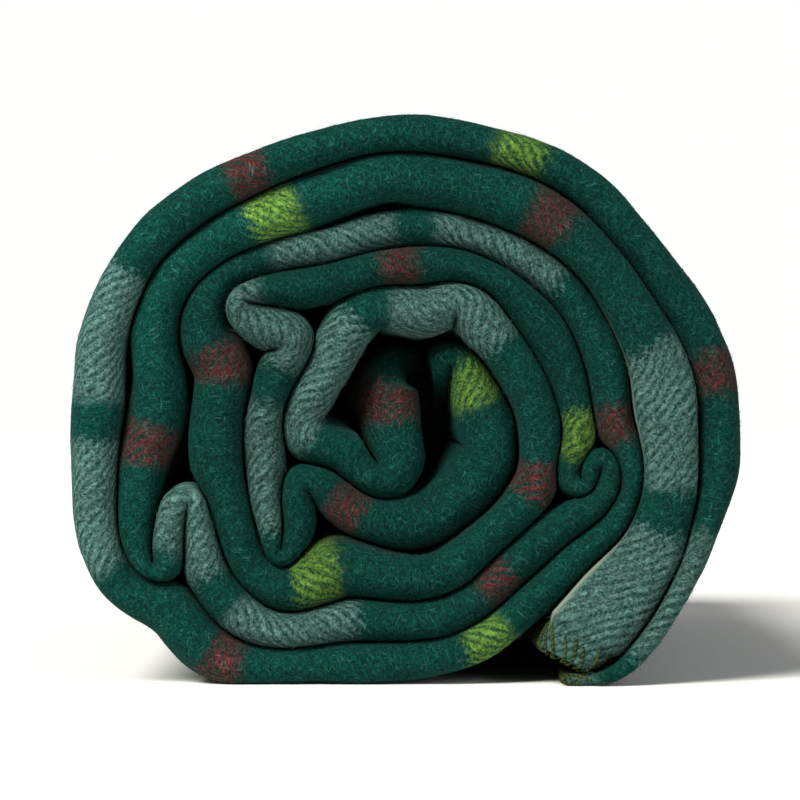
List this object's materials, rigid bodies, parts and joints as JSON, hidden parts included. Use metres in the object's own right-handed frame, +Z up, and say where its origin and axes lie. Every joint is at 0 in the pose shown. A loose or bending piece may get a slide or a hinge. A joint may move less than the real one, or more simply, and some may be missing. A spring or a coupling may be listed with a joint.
{
  "type": "camp blanket",
  "caption": "Folded and rolled wool plaid camp blanket with whip-stitched cut ends; its loose outer end lifts away from the roll.",
  "frame": {"origin": "centre of the bounding box at floor level, under the rolled blanket lying on its side", "axes": "+Y along the roll, away from the front fold end; +X to the right as seen from the fold end; +Z up"},
  "size_m": [0.199, 0.45, 0.1683],
  "materials": {
    "plaid_wool": "fulled wool twill, dark green plaid with sage, lime and red stripes",
    "olive_yarn": "matt olive whip-stitch yarn"
  },
  "bodies": {
    "roll": {"blanket_roll": "plaid_wool"},
    "loose_end": {"outer_end": "plaid_wool", "inner_end": "plaid_wool", "outer_hem_stitching": "olive_yarn", "inner_hem_stitching": "olive_yarn"}
  },
  "joints": [
    {"name": "loose_end_lift", "type": "hinge", "parent": "roll", "child": "loose_end", "pos_m": [0.06127, 0, 0.14844], "axis": [0, -1, 0], "range_deg": [0, 60]}
  ]
}
